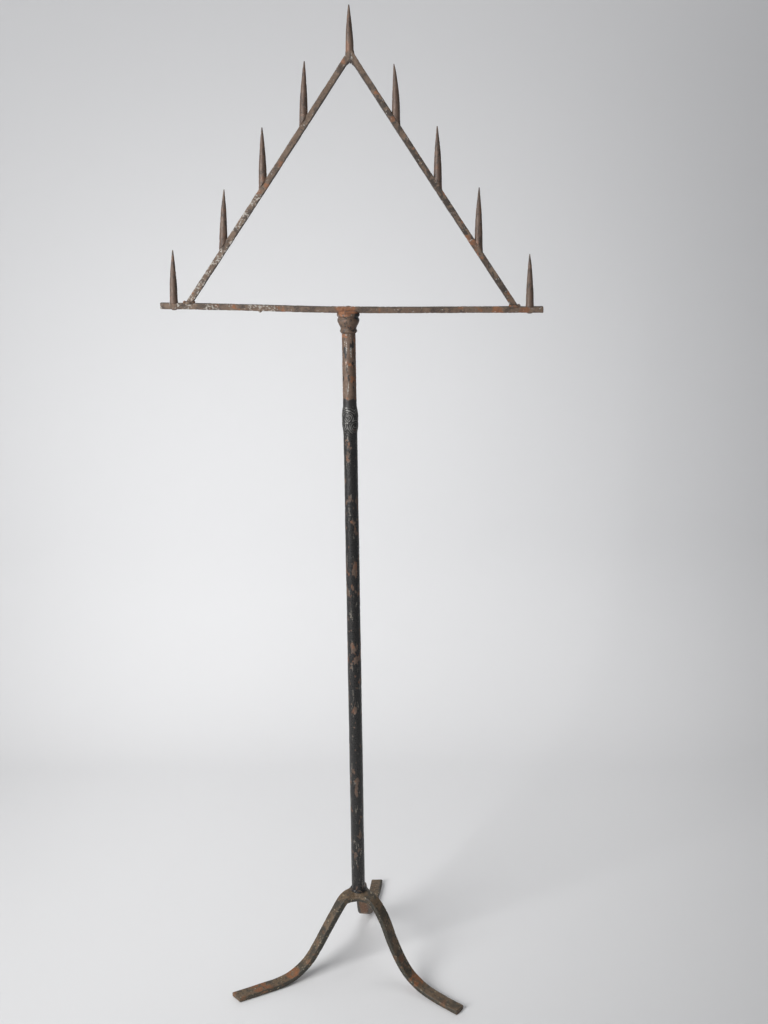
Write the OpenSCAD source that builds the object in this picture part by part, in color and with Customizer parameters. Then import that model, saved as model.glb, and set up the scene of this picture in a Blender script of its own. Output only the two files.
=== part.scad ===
// Wrought-iron candle stand: a triangular head of square bar that carries nine
// spikes, on a round pole with three bowed legs.
// The origin is on the floor under the middle of the whole stand, in width and in
// depth. The crossbar lies along X and the single leg points to the back, along +Y.

/* [Overall] */
// Height from the floor to the tip of the top spike
total_h = 1650; // [1500:1:1800]
// Height of the crossbar's top face above the floor
bar_top = 1222; // [1100:1:1300]

/* [Head] */
// Side of the square bar that the head is made of
bar_t = 9.5; // [9:0.5:14]
// Length of the crossbar
bar_len = 594; // [560:1:640]
// Distance from the pole's axis to the crossbar's middle, along X
head_shift = 6; // [0:0.5:15]
// Lean of the whole head to the right, in degrees
head_tilt = 0.5; // [0:0.1:1]
// Half the distance between the rafters' axes, on top of the crossbar
rafter_foot_x = 250; // [230:1:265]
// Height of the point where the rafters' axes meet, above the crossbar's top face
rafter_rise = 363; // [340:1:380]

/* [Spikes] */
// Radius of a spike at its base
spike_r = 6.2; // [5:0.1:8]
// Length of a spike, from the middle of its foot to its tip
spike_len = 80; // [70:1:100]
// Lean of the side spikes towards the head's middle, in degrees
spike_lean = 2; // [0:0.5:4]
// Radius of the blunt tip of a spike
spike_tip_r = 0.6; // [0.4:0.1:1]
// Distance along the rafter from the crossbar to the first spike
spike_first = 112; // [100:1:130]
// Distance between spikes along the rafter
spike_pitch = 109.5; // [95:0.5:112]
// Distance from the crossbar's middle to an end spike
end_spike_x = 276.5; // [270:0.5:277]
// Radius of the tenon under an end spike
tenon_r = 3; // [2.5:0.1:3.5]

/* [Capital and pole] */
// Radius of the upper shaft
shaft_r = 11; // [10:0.1:13]
// Radius of the lower pole where it meets the upper shaft
pole_top_r = 11.2; // [10:0.1:13]
// Radius of the lower pole at the crown
pole_foot_r = 12.1; // [11:0.1:14]
// Height above the floor of the joint between the shaft and the pole
joint_z = 1044; // [900:1:1090]
// Height of the welded sleeve around that joint
sleeve_h = 42; // [30:1:60]
// Largest radius of the sleeve
sleeve_r = 13.1; // [13:0.1:16]
// Radius of the shaft's tenon through the capital and the crossbar
shaft_tenon_r = 3.5; // [3:0.1:3.6]

/* [Legs] */
// Height of the crown's top face above the floor
crown_top = 156; // [140:1:170]
// Width of the flat bar that the legs are made of
leg_w = 21; // [18:0.5:24]
// Thickness of that bar
leg_t = 10; // [9:0.5:12]
// Distance from the pole's axis to the tip of the front left foot
reach_left = 240; // [225:1:260]
// Distance from the pole's axis to the tip of the front right foot
reach_right = 224; // [220:1:260]
// Distance from the pole's axis to the tip of the back foot
reach_back = 235; // [225:1:260]
// Turn of the three legs about the pole, away from square with the crossbar
leg_turn = -6.5; // [-15:0.5:15]
// Slope of the legs' straight stretch, in degrees below level
leg_slope = 59; // [52:1:64]

/* [Hidden] */
$fn = 72;

eps = 0.01;
fit_gap = 0.05;                              // radial gap of a tenon in its hole
tilt_gap = 0.15;                             // the same where the head leans on the shaft
left = -1;
right = 1;

rafter_angle = atan2(rafter_foot_x, rafter_rise);   // away from plumb
face_dx = bar_t / 2 / cos(rafter_angle);     // level distance from rafter axis to face
mitre_top = bar_top + rafter_rise + bar_t / 2 / sin(rafter_angle);

bar_bottom = bar_top - bar_t;
peen_r = 1.5 * tenon_r;                      // hammered end of an end spike's tenon
peen_h = 1.6;
shaft_peen_r = 4.6;                          // hammered end of the shaft's tenon
shaft_peen_h = 1.2;
weld_bead = 3;                               // leg length of a fillet weld

// Turned outline of the capital, measured down from the crossbar's underside
flange_r = 17.7;
flange_h = 5;
groove_r = 15.8;
groove_z = 6.8;
bowl_r = 17;
bowl_z = 10.8;
neck_r = 12.4;
neck_z = 24;
ring_r = 13.2;
ring_z = 28.2;
ring_h = 4.6;
capital_h = 31.5;

// The crown is a plate; its three butt faces carry the legs
crown_reach = 18;
crown_tenon_r = 8;
rivet_r = 11;
rivet_h = 3.5;
bend_out = 30;                               // outer radius of the shoulder bend
bend_foot = 88;                              // middle radius of the bend above the foot
bend_mid = bend_out - leg_t / 2;
foot_corner = 2;                             // rounding of a foot's upper edge
arc_steps = 16;

// Radius of a spike, s from 0 at its tip to 1 at its base
function spike_radius(s) = spike_tip_r + (spike_r - spike_tip_r) * sin(90 * pow(s, 0.9));

function arc_points(cx, cy, r, from, to) =
    [for (i = [0 : arc_steps]) let (a = from + (to - from) * i / arc_steps)
        [cx + r * cos(a), cy + r * sin(a)]];

// Height of the rafters' outer face at a level distance x from the head's middle
function face_z(x) = bar_top + rafter_rise * (1 - (x - face_dx) / rafter_foot_x);

// The pieces are drawn about the pole's axis, and then moved so that the origin is
// under the middle of the stand
module placed() {
    foot_back = reach_back * cos(leg_turn) + leg_w / 2 * abs(sin(leg_turn));
    front_left = reach_left * sin(30 + leg_turn) + leg_w / 2 * cos(30 + leg_turn);
    front_right = reach_right * sin(30 - leg_turn) + leg_w / 2 * cos(30 - leg_turn);
    mid_x = flange_r + (head_shift - flange_r) * cos(head_tilt) + bar_t / 2 * sin(head_tilt);
    mid_y = (foot_back - max(front_left, front_right)) / 2;
    translate([-mid_x, -mid_y, 0])
        children();
}

module iron() { color("#5b4a3e") placed() children(); }
module black() { color("#2a2b2c") placed() children(); }
module bead() { color("#77706a") placed() children(); }

// The head leans about the right edge of the capital's flange, and its own middle
// is at head_shift
module head() {
    translate([flange_r, 0, bar_bottom])
        rotate([0, head_tilt, 0])
            translate([head_shift - flange_r, 0, -bar_bottom])
                children();
}

// A round taper standing on z = 0, with extra_h more of straight shank below
module spike_body(len, extra_h) {
    profile = [for (i = [0 : 12]) [spike_radius(i / 12), len * (1 - i / 12)]];
    rotate_extrude()
        polygon(concat([[0, -extra_h], [0, len]], profile, [[spike_r, -extra_h]]));
}

// A spike whose foot is cut to lie on the rafter's outer face
module rafter_spike(side, index) {
    run = spike_first + index * spike_pitch;
    x = rafter_foot_x + face_dx - run * sin(rafter_angle);
    z = face_z(x);
    iron()
        head()
            translate([side * x, 0, z])
                difference() {
                    rotate([0, -side * spike_lean, 0])
                        spike_body(spike_len, 3 * spike_r);
                    rotate([0, side * (90 - rafter_angle), 0])
                        translate([-4 * spike_r, -2 * spike_r, -8 * spike_r])
                            cube([8 * spike_r, 4 * spike_r, 8 * spike_r]);
                }
}

// A rafter runs from the crossbar to the mitre under the top spike
module rafter(side) {
    long = rafter_rise + 4 * bar_t;
    iron()
        head()
            intersection() {
                translate([side * rafter_foot_x, 0, bar_top])
                    rotate([0, -side * rafter_angle, 0])
                        translate([-bar_t / 2, -bar_t / 2, -2 * bar_t])
                            cube([bar_t, bar_t, long / cos(rafter_angle)]);
                translate([side > 0 ? 0 : -rafter_foot_x - 3 * bar_t, -bar_t, bar_top])
                    cube([rafter_foot_x + 3 * bar_t, 2 * bar_t, long]);
            }
}

module rafter_left() { rafter(left); }
module rafter_right() { rafter(right); }

module crossbar() {
    iron()
        head()
            difference() {
                translate([-bar_len / 2, -bar_t / 2, bar_bottom])
                    cube([bar_len, bar_t, bar_t]);
                for (side = [left, right])
                    translate([side * end_spike_x, 0, bar_bottom - 1])
                        cylinder(r = tenon_r + fit_gap, h = bar_t + 2);
                translate([-head_shift, 0, bar_bottom - 1])
                    cylinder(r = shaft_tenon_r + tilt_gap, h = bar_t + 2);
            }
}

// The top spike's foot is notched to sit astride the rafters
module apex_spike() {
    foot_z = mitre_top - spike_r / tan(rafter_angle);
    iron()
        head()
            difference() {
                translate([0, 0, foot_z])
                    spike_body(total_h - foot_z, 0);
                translate([0, 2 * spike_r, 0])
                    rotate([90, 0, 0])
                        linear_extrude(4 * spike_r)
                            polygon([[0, mitre_top],
                                     [2 * spike_r, mitre_top - 2 * spike_r / tan(rafter_angle)],
                                     [-2 * spike_r, mitre_top - 2 * spike_r / tan(rafter_angle)]]);
            }
}

module spike_left_lower() { rafter_spike(left, 0); }
module spike_left_middle() { rafter_spike(left, 1); }
module spike_left_upper() { rafter_spike(left, 2); }
module spike_right_lower() { rafter_spike(right, 0); }
module spike_right_middle() { rafter_spike(right, 1); }
module spike_right_upper() { rafter_spike(right, 2); }

// An end spike has a shoulder on the crossbar and a tenon hammered over below it
module end_spike(side) {
    iron()
        head()
            translate([side * end_spike_x, 0, bar_top]) {
                difference() {
                    rotate([0, -side * spike_lean, 0])
                        spike_body(spike_len, 2);
                    translate([-2 * spike_r, -2 * spike_r, -4])
                        cube([4 * spike_r, 4 * spike_r, 4]);
                }
                translate([0, 0, -bar_t - eps])
                    cylinder(r = tenon_r, h = bar_t + 2 * eps);
                translate([0, 0, -bar_t - peen_h])
                    cylinder(r1 = tenon_r, r2 = peen_r, h = peen_h);
            }
}

module end_spike_left() { end_spike(left); }
module end_spike_right() { end_spike(right); }

// Fillet welds in the outer and inner corners of a rafter's foot
module rafter_weld(side) {
    rise_dx = weld_bead * tan(rafter_angle);
    bead()
        head()
            translate([side * rafter_foot_x, bar_t / 2, bar_top])
                rotate([90, 0, 0])
                    linear_extrude(bar_t) {
                        polygon([[side * face_dx, 0],
                                 [side * (face_dx + weld_bead), 0],
                                 [side * (face_dx - rise_dx), weld_bead]]);
                        polygon([[-side * face_dx, 0],
                                 [-side * (face_dx + 2 * weld_bead), 0],
                                 [-side * (face_dx + rise_dx), weld_bead]]);
                    }
}

module rafter_weld_left() { rafter_weld(left); }
module rafter_weld_right() { rafter_weld(right); }

// Weld between the crossbar's sides and the top of the capital's flange
module capital_weld() {
    weld_len = 1.4 * flange_r;
    bead()
        head()
            for (side = [left, right])
                translate([-head_shift - weld_len / 2, side * bar_t / 2, bar_bottom])
                    rotate([90, 0, 90])
                        linear_extrude(weld_len)
                            polygon([[0, 0], [side * 2 * weld_bead, 0], [0, 2 * weld_bead]]);
}

module capital() {
    profile = [
        [shaft_tenon_r + fit_gap, 0],
        [flange_r, 0],
        [flange_r, -flange_h],
        [groove_r, -groove_z],
        [bowl_r - 0.6, -groove_z - 1.4],
        [bowl_r, -bowl_z],
        [bowl_r - 1.4, -bowl_z - 4.6],
        [neck_r + 1.3, -neck_z + 5],
        [neck_r, -neck_z],
        [ring_r - 0.5, -ring_z + ring_h / 2],
        [ring_r, -ring_z],
        [ring_r - 0.6, -ring_z - ring_h / 2],
        [shaft_r + 0.3, -capital_h],
        [shaft_tenon_r + fit_gap, -capital_h]
    ];
    iron()
        translate([0, 0, bar_bottom])
            rotate_extrude()
                polygon(profile);
}

// The shaft's tenon runs up through the capital and the crossbar
module upper_shaft() {
    shaft_top = bar_bottom - capital_h;
    iron() {
        translate([0, 0, joint_z])
            cylinder(r = shaft_r, h = shaft_top - joint_z);
        translate([0, 0, shaft_top - eps])
            cylinder(r = shaft_tenon_r, h = bar_top - shaft_top + shaft_peen_h / 2);
        head()
            translate([-head_shift, 0, bar_top])
                cylinder(r1 = shaft_peen_r, r2 = shaft_tenon_r, h = shaft_peen_h);
    }
}

// A barrel of weld metal around the butt joint of shaft and pole
module joint_sleeve() {
    half = sleeve_h / 2;
    bore_top = shaft_r + fit_gap;
    bore_foot = pole_top_r + fit_gap;
    bead()
        translate([0, 0, joint_z])
            rotate_extrude()
                polygon([
                    [bore_top, 0],
                    [bore_top, half],
                    [bore_top + 0.5, half],
                    [sleeve_r - 1, half * 0.72],
                    [sleeve_r, half * 0.3],
                    [sleeve_r, -half * 0.3],
                    [sleeve_r - 0.7, -half * 0.72],
                    [bore_foot + 0.5, -half],
                    [bore_foot, -half],
                    [bore_foot, 0]
                ]);
}

// The pole's tenon passes through the crown and is riveted under it
module lower_pole() {
    crown_bottom = crown_top - leg_t;
    black() {
        translate([0, 0, crown_top])
            cylinder(r1 = pole_foot_r, r2 = pole_top_r, h = joint_z - crown_top);
        translate([0, 0, crown_bottom - eps])
            cylinder(r = crown_tenon_r, h = leg_t + 2 * eps);
        translate([0, 0, crown_bottom - rivet_h])
            cylinder(r1 = crown_tenon_r, r2 = rivet_r, h = rivet_h);
    }
}

// Fillet weld around the foot of the pole
module pole_weld() {
    black()
        translate([0, 0, crown_top])
            rotate_extrude()
                polygon([
                    [pole_foot_r, 0],
                    [pole_foot_r + 3, 0],
                    [pole_foot_r + 2.4, 3.5],
                    [pole_foot_r, 7]
                ]);
}

module leg_crown() {
    iron()
        translate([0, 0, crown_top - leg_t])
            difference() {
                linear_extrude(leg_t)
                    polygon([for (arm = [0 : 2], side = [-1, 1])
                        let (a = 90 + leg_turn + 120 * arm)
                            [crown_reach * cos(a) - side * leg_w / 2 * sin(a),
                             crown_reach * sin(a) + side * leg_w / 2 * cos(a)]]);
                translate([0, 0, -1])
                    cylinder(r = crown_tenon_r + fit_gap, h = leg_t + 2);
            }
}

// Side view of a leg: out from the crown, over a shoulder, down a straight slope
// and round into the foot. x is the distance from the pole's axis, y the height.
module leg_outline(reach) {
    shoulder_y = crown_top - bend_out;
    shoulder_end_x = crown_reach + bend_mid * sin(leg_slope);
    shoulder_end_y = shoulder_y + bend_mid * cos(leg_slope);
    foot_mid = leg_t / 2;
    arch_y = foot_mid + bend_foot;
    slope_end_y = arch_y - bend_foot * cos(leg_slope);
    slope_end_x = shoulder_end_x + (shoulder_end_y - slope_end_y) / tan(leg_slope);
    arch_x = slope_end_x + bend_foot * sin(leg_slope);
    half = leg_t / 2;
    polygon(concat(
        arc_points(crown_reach, shoulder_y, bend_out, 90, 90 - leg_slope),
        arc_points(arch_x, arch_y, bend_foot - half, 270 - leg_slope, 270),
        arc_points(reach - foot_corner, leg_t - foot_corner, foot_corner, 90, 0),
        [[reach, 0]],
        arc_points(arch_x, arch_y, bend_foot + half, 270, 270 - leg_slope),
        arc_points(crown_reach, shoulder_y, bend_out - leg_t, 90 - leg_slope, 90)
    ));
}

module leg(angle, reach) {
    iron()
        rotate([0, 0, angle + leg_turn])
            translate([0, leg_w / 2, 0])
                rotate([90, 0, 0])
                    linear_extrude(leg_w)
                        leg_outline(reach);
}

module leg_left() { leg(210, reach_left); }
module leg_right() { leg(330, reach_right); }
module leg_back() { leg(90, reach_back); }

crossbar();
rafter_left();
rafter_right();
apex_spike();
spike_left_lower();
spike_left_middle();
spike_left_upper();
spike_right_lower();
spike_right_middle();
spike_right_upper();
end_spike_left();
end_spike_right();
rafter_weld_left();
rafter_weld_right();
capital_weld();
capital();
upper_shaft();
joint_sleeve();
lower_pole();
pole_weld();
leg_crown();
leg_left();
leg_right();
leg_back();
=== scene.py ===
# %% [markdown]
# # A wrought-iron candle stand, forged in code
# The stand is a triangle of square bar with nine spikes, on a round pole with three bowed legs.
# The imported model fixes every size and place. Forged iron is never as straight as a drawing, though:
# bars bow, ends spread, welds leave lumps and rust eats pits. So each piece is made again here as a
# fine mesh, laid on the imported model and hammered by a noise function. This lesson goes from the
# tools to the head, down the pole and out along the legs, and ends with the finishes.

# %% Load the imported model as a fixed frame
import math

import bmesh
import bpy
from mathutils import Matrix, Vector, noise


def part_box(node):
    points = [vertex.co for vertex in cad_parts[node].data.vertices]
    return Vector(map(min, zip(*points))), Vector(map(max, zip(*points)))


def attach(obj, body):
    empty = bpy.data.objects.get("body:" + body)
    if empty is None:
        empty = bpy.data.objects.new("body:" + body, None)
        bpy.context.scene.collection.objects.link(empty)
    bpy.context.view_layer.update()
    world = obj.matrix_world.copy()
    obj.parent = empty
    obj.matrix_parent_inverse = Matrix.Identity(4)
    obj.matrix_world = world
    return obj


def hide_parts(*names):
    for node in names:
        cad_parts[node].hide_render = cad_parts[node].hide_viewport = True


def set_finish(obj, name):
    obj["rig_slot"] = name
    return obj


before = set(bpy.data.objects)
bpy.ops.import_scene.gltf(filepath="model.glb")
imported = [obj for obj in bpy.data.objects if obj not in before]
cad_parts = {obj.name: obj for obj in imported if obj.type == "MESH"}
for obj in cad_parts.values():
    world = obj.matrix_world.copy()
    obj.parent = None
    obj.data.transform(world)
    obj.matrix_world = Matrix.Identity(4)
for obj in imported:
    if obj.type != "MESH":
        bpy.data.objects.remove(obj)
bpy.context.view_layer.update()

# %% [markdown]
# A smith measures from one line. Here that line is the axis of the round pole, with heights taken from
# the floor, and all sizes are in millimetres. Blender works in metres, so one helper turns a place in
# the smith's terms into a place in the scene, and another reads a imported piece's box in those terms.

# %% Measure from the pole's axis, in millimetres
MM = 0.001
pole_low, pole_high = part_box("lower_pole")
POLE = Vector(((pole_low.x + pole_high.x) / 2, (pole_low.y + pole_high.y) / 2, 0))


def at(place):
    """A place in the scene from millimetres off the pole's axis and above the floor."""
    return POLE + Vector(place) * MM


def box_mm(node):
    """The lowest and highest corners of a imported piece, in the smith's terms."""
    low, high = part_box(node)
    return (low - POLE) / MM, (high - POLE) / MM


print("pole's axis at", tuple(round(value, 4) for value in POLE))

# %% [markdown]
# The camera stands at chest height, 1.65 m in front of the pole, and looks 17 degrees down with a
# moderately wide lens. It is turned a little about its own line of sight, as a camera held by hand is.

# %% Set up the camera
EYE = (53.1, -1654.1, 1393.7)
LOOK_DOWN = 17.0
ROLL = -0.479

lens = bpy.data.cameras.new("camera")
lens.sensor_width = 36.0
lens.lens = 36.91
lens.clip_start = 0.05
camera = bpy.data.objects.new("camera", lens)
bpy.context.scene.collection.objects.link(camera)
tilt = Matrix.Rotation(math.radians(90 - LOOK_DOWN), 4, "X")
roll = Matrix.Rotation(math.radians(ROLL), 4, "Z")
camera.matrix_world = Matrix.Translation(at(EYE)) @ tilt @ roll
bpy.context.scene.camera = camera
print("camera at", tuple(round(value, 3) for value in camera.location))

# %% [markdown]
# The studio is one pale sheet that runs along the floor and curves up behind the stand, so that no
# line shows where floor and wall meet. A profile is drawn in the Y-Z plane and pulled out along X. Its
# colour holds painted light: a pool of it, pale low down and grey at the top, with the distance from a
# place low on the wall. The stand is also looked at from behind, so the back of the sheet is
# see-through, the floor goes on behind the wall, and the far edges melt into the pale room. The sheet
# isn't part of the stand.

# %% Mix the backdrop's paint and its painted light
PAINTED_LIGHT_CENTRE = (100, 700, 200)
PAINTED_LIGHT_FALLOFF = (0.5, 2.0)
MELT = (2.4, 3.4)


def new_piece(name, mesh):
    """An object that shows a mesh in the scene."""
    piece = bpy.data.objects.new(name, mesh)
    bpy.context.scene.collection.objects.link(piece)
    return piece


def backdrop_with_painted_light(name, pale, grey):
    """A matt paint with painted light, pale at the bright place and grey far from it, and see-through from
    behind.
    """
    material = bpy.data.materials.new(name)
    material.use_nodes = True
    tree = material.node_tree
    paint = tree.nodes["Principled BSDF"]
    paint.inputs["Roughness"].default_value = 0.95
    geometry = tree.nodes.new("ShaderNodeNewGeometry")
    away = tree.nodes.new("ShaderNodeVectorMath")
    away.operation = "DISTANCE"
    away.inputs[1].default_value = at(PAINTED_LIGHT_CENTRE)
    tree.links.new(geometry.outputs["Position"], away.inputs[0])

    def rise(near_and_far):
        """0 near the bright place and 1 far from it. The distances are in metres."""
        node = tree.nodes.new("ShaderNodeMapRange")
        node.interpolation_type = "SMOOTHSTEP"
        node.inputs["From Min"].default_value, node.inputs["From Max"].default_value = near_and_far
        tree.links.new(away.outputs["Value"], node.inputs["Value"])
        return node.outputs["Result"]

    # Painted light: the colour goes from pale near the bright place to grey far from it, a painted pool of
    # light.
    mix = tree.nodes.new("ShaderNodeMix")
    mix.data_type = "RGBA"
    mix.inputs[6].default_value = (pale, pale, pale * 1.005, 1)
    mix.inputs[7].default_value = (grey, grey, grey * 1.01, 1)
    tree.links.new(rise(PAINTED_LIGHT_FALLOFF), mix.inputs["Factor"])
    tree.links.new(mix.outputs[2], paint.inputs["Base Color"])
    unseen = tree.nodes.new("ShaderNodeMath")
    unseen.operation = "MAXIMUM"
    tree.links.new(geometry.outputs["Backfacing"], unseen.inputs[0])
    tree.links.new(rise(MELT), unseen.inputs[1])
    choose = tree.nodes.new("ShaderNodeMixShader")
    clear = tree.nodes.new("ShaderNodeBsdfTransparent")
    for socket, source in zip(choose.inputs, (unseen, paint, clear)):
        tree.links.new(source.outputs[0], socket)
    tree.links.new(choose.outputs[0], tree.nodes["Material Output"].inputs["Surface"])
    print(name, "has", len(tree.nodes), "nodes")
    return material


backdrop = backdrop_with_painted_light("backdrop_painted_light", 0.81, 0.50)

# %% Hang the studio sheet
SHEET_HALF_WIDTH = 2600
SHEET_FRONT = -3200
SHEET_BACK = 1150
SHEET_CURVE = 450
SHEET_TOP = 2900
FLOOR_BEHIND = 2600


def pull_out(name, profile):
    """A stage sheet from (y, z) points, pulled out along X, with its painted side up or to the front."""
    mesh = bpy.data.meshes.new(name)
    points = [at((side * SHEET_HALF_WIDTH, y, z)) for y, z in profile for side in (-1, 1)]
    faces = [(2 * i, 2 * i + 1, 2 * i + 3, 2 * i + 2) for i in range(len(profile) - 1)]
    mesh.from_pydata(points, [], faces)
    mesh.shade_smooth()
    mesh.materials.append(backdrop)
    new_piece(name, mesh)
    print(name, "has", len(faces), "faces")


floor_end = SHEET_BACK - SHEET_CURVE
profile = [(SHEET_FRONT, 0), (floor_end, 0)]
for step in range(1, 25):
    angle = math.radians(90 * step / 24)
    profile.append((floor_end + SHEET_CURVE * math.sin(angle), SHEET_CURVE * (1 - math.cos(angle))))
profile.append((SHEET_BACK, SHEET_TOP))
pull_out("studio_sheet", profile)
pull_out("studio_floor_behind", [(floor_end, 0), (floor_end + FLOOR_BEHIND, 0)])

# %% [markdown]
# The light is one large soft window from the front left, a weak one from the right, and a soft one
# overhead for the floor. The key light shapes the round pole: bright on its left, nearly black on its
# right. The lamps themselves stay out of every view. The room around is dim above and paler along the
# horizon, like far walls, so that the dark iron still stands out when it is seen from the side.

# %% Hang the lights


def soft_light(name, place, aim, size, power, spread=180):
    """A rectangular area light that points at a place. spread is the beam's angle in degrees."""
    lamp = bpy.data.lights.new(name, "AREA")
    lamp.shape = "RECTANGLE"
    lamp.size, lamp.size_y = size
    lamp.energy = power
    lamp.spread = math.radians(spread)
    light = new_piece(name, lamp)
    light.location = at(place)
    light.visible_camera = False
    light.rotation_euler = (at(aim) - at(place)).to_track_quat("-Z", "Y").to_euler()


soft_light("key_light", (-1750, -1600, 1600), (0, 100, 650), (1.3, 1.8), 84)
soft_light("fill_light", (2300, -1500, 1500), (0, 0, 900), (1.2, 1.8), 0.8)
soft_light("top_light", (500, 600, 3000), (400, 750, 0), (2.0, 1.0), 8, spread=120)

# %% Light the room around
HORIZON = (0.25, 0.38)
OVERHEAD = (0.6, 0.05)
world = bpy.data.worlds.new("room_light")
world.use_nodes = True
room = world.node_tree
room.nodes["Background"].inputs["Color"].default_value = (0.93, 0.95, 1.0, 1)
direction = room.nodes.new("ShaderNodeSeparateXYZ")
brightness = room.nodes.new("ShaderNodeMapRange")
brightness.interpolation_type = "SMOOTHSTEP"
for word, (height, strength) in (("Min", HORIZON), ("Max", OVERHEAD)):
    brightness.inputs["From " + word].default_value = height
    brightness.inputs["To " + word].default_value = strength
room.links.new(room.nodes.new("ShaderNodeTexCoord").outputs["Generated"], direction.inputs[0])
room.links.new(direction.outputs["Z"], brightness.inputs["Value"])
room.links.new(brightness.outputs["Result"], room.nodes["Background"].inputs["Strength"])
bpy.context.scene.world = world
bpy.context.scene.view_settings.view_transform = "Standard"
print("lights:", [light.name for light in bpy.data.lights])

# %% [markdown]
# Every forged piece is a skin over a row of rings. All the rings of a piece have the same number of
# points, neighbours are joined by four-sided faces, and the two ends are closed by a fan, so that the
# mesh is one closed shell. Several shells can make one piece, such as a spike with its hammered tenon.

# %% Skin a row of rings


def skin(shells):
    """One bmesh, still in millimetres, with a closed shell over each row of rings."""
    work = bmesh.new()
    for rings in shells:
        rows = [[work.verts.new(point) for point in ring] for ring in rings]
        count = len(rows[0])
        for row, after in zip(rows, rows[1:]):
            for i in range(count):
                work.faces.new((row[i - 1], row[i], after[i], after[i - 1]))
        for row, turn in ((rows[0], -1), (rows[-1], 1)):
            middle = work.verts.new(sum((vert.co for vert in row), Vector()) / count)
            for i in range(count):
                work.faces.new((row[i - 1], row[i], middle)[::turn])
    bmesh.ops.recalc_face_normals(work, faces=work.faces)
    return work


# %% [markdown]
# Real wrought iron shows four things at once: broad flats left by the hammer, small dents, a coarse
# skin of scale and pits eaten by rust. Each is a noise of its own size. The surface moves along its own
# normal by the sum, a few tenths of a millimetre, so that edges waver and catch the light. The same
# noise at the same place moves neighbouring pieces alike, which keeps their joints tight.

# %% The hammer


def fade(value, low, high):
    """0 below low, 1 above high and a smooth rise between."""
    share = min(1.0, max(0.0, (value - low) / (high - low)))
    return share * share * (3 - 2 * share)


def forged_depth(place, wear=1.0):
    """How far hammer and rust move the surface at a place, in millimetres."""
    flats = 0.30 * noise.noise(place / 26)
    dents = 0.24 * (noise.voronoi(place / 8.5)[0][0] - 0.45)
    scale = 0.16 * noise.noise(place / 3.1)
    pits = -0.45 * fade(noise.noise(place / 4.3 + Vector((7, 3, 1))), 0.22, 0.5)
    return wear * (flats + dents + scale + pits)


print("depth at the pole's foot:", round(forged_depth(Vector((0, 0, 156))), 3), "mm")

# %% [markdown]
# The finish of old iron follows its history: orange rust where water stays, black scale or old paint
# where it has held on, pale lime and wax where candles dripped. On some pieces the dark mark also carries
# painted shade and the pale one painted highlights. These marks are written on the mesh as point
# attributes, rust, dark and pale, between 0 and 1. A mask made in Python can follow the real piece from
# place to place, and the shader then breaks its edges up with finer noise.

# %% Blotches that follow the piece


def blotches(place, size, level, soft=0.12, seed=0):
    """1 inside patches about size millimetres across, 0 outside. A higher level leaves fewer."""
    value = noise.fractal(place / size + Vector((seed, 2 * seed, -seed)), 1.0, 2.1, 4)
    return fade(value, level - soft, level + soft)


def near(place, centre, reach):
    """1 at a centre, falling to 0 at a distance. reach is one number or one for each axis."""
    reach = Vector(reach) if hasattr(reach, "__len__") else Vector((reach, reach, reach))
    offset = place - Vector(centre)
    scaled = Vector((offset.x / reach.x, offset.y / reach.y, offset.z / reach.z))
    return 1 - fade(scaled.length, 0.45, 1.0)


MARK_NAMES = ("rust", "dark", "pale")

# %% [markdown]
# A forged piece is finished in four steps: skin its rings, hammer the skin, write its marks on it, and
# hand it to the frame. Handing over means that it rides on the stand's one body, takes the place of its
# imported piece, and names the record's finish that it stands for. Nothing may sink below the floor, so a
# foot that is hammered lower than that is pressed flat.

# %% Forge a piece and fit it to the frame
forged = {}


def settle(name, work, nodes, slot, depth, history):
    """Hammers a bmesh in millimetres, marks it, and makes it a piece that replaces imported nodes."""
    work.normal_update()
    moved = [vert.co + vert.normal * depth(vert.co) for vert in work.verts]
    for vert, place in zip(work.verts, moved):
        vert.co = place
    marks = [history(vert.co) for vert in work.verts]
    for vert in work.verts:
        vert.co = at((vert.co.x, vert.co.y, max(0.0, vert.co.z)))
    mesh = bpy.data.meshes.new(name)
    work.to_mesh(mesh)
    work.free()
    for index, word in enumerate(MARK_NAMES):
        attribute = mesh.attributes.new(word, "FLOAT", "POINT")
        attribute.data.foreach_set("value", [mark[index] for mark in marks])
    mesh.shade_smooth()
    piece = new_piece(name, mesh)
    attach(piece, "root")
    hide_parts(*nodes)
    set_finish(piece, slot)
    forged[name] = piece
    print(name, "has", len(mesh.polygons), "faces")


# %% [markdown]
# Bar stock is drawn as a section that runs along a line. The section of a square or flat bar is a
# rectangle with worn, rounded edges. The line is a smooth curve through a few points, cut into equal
# short steps: a Catmull-Rom curve passes through every point that the smith chose, with no corners.

# %% Lines and sections


def smooth_line(points, step=1.2):
    """Places at equal steps along a Catmull-Rom curve through the points."""
    points = [Vector(point) for point in points]
    padded = [2 * points[0] - points[1], *points, 2 * points[-1] - points[-2]]
    fine = []
    for a, b, c, d in zip(padded, padded[1:], padded[2:], padded[3:]):
        for k in range(40):
            t = k / 40
            fine.append(0.5 * (2 * b + (c - a) * t + (2 * a - 5 * b + 4 * c - d) * t ** 2
                               + (3 * b - a - 3 * c + d) * t ** 3))
    fine.append(points[-1])
    lengths = [0.0]
    for a, b in zip(fine, fine[1:]):
        lengths.append(lengths[-1] + (b - a).length)
    count = max(2, round(lengths[-1] / step))
    line, at_index = [], 0
    for k in range(count + 1):
        goal = lengths[-1] * k / count
        while at_index < len(fine) - 2 and lengths[at_index + 1] < goal:
            at_index += 1
        span = max(1e-9, lengths[at_index + 1] - lengths[at_index])
        line.append(fine[at_index].lerp(fine[at_index + 1], (goal - lengths[at_index]) / span))
    return line


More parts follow.
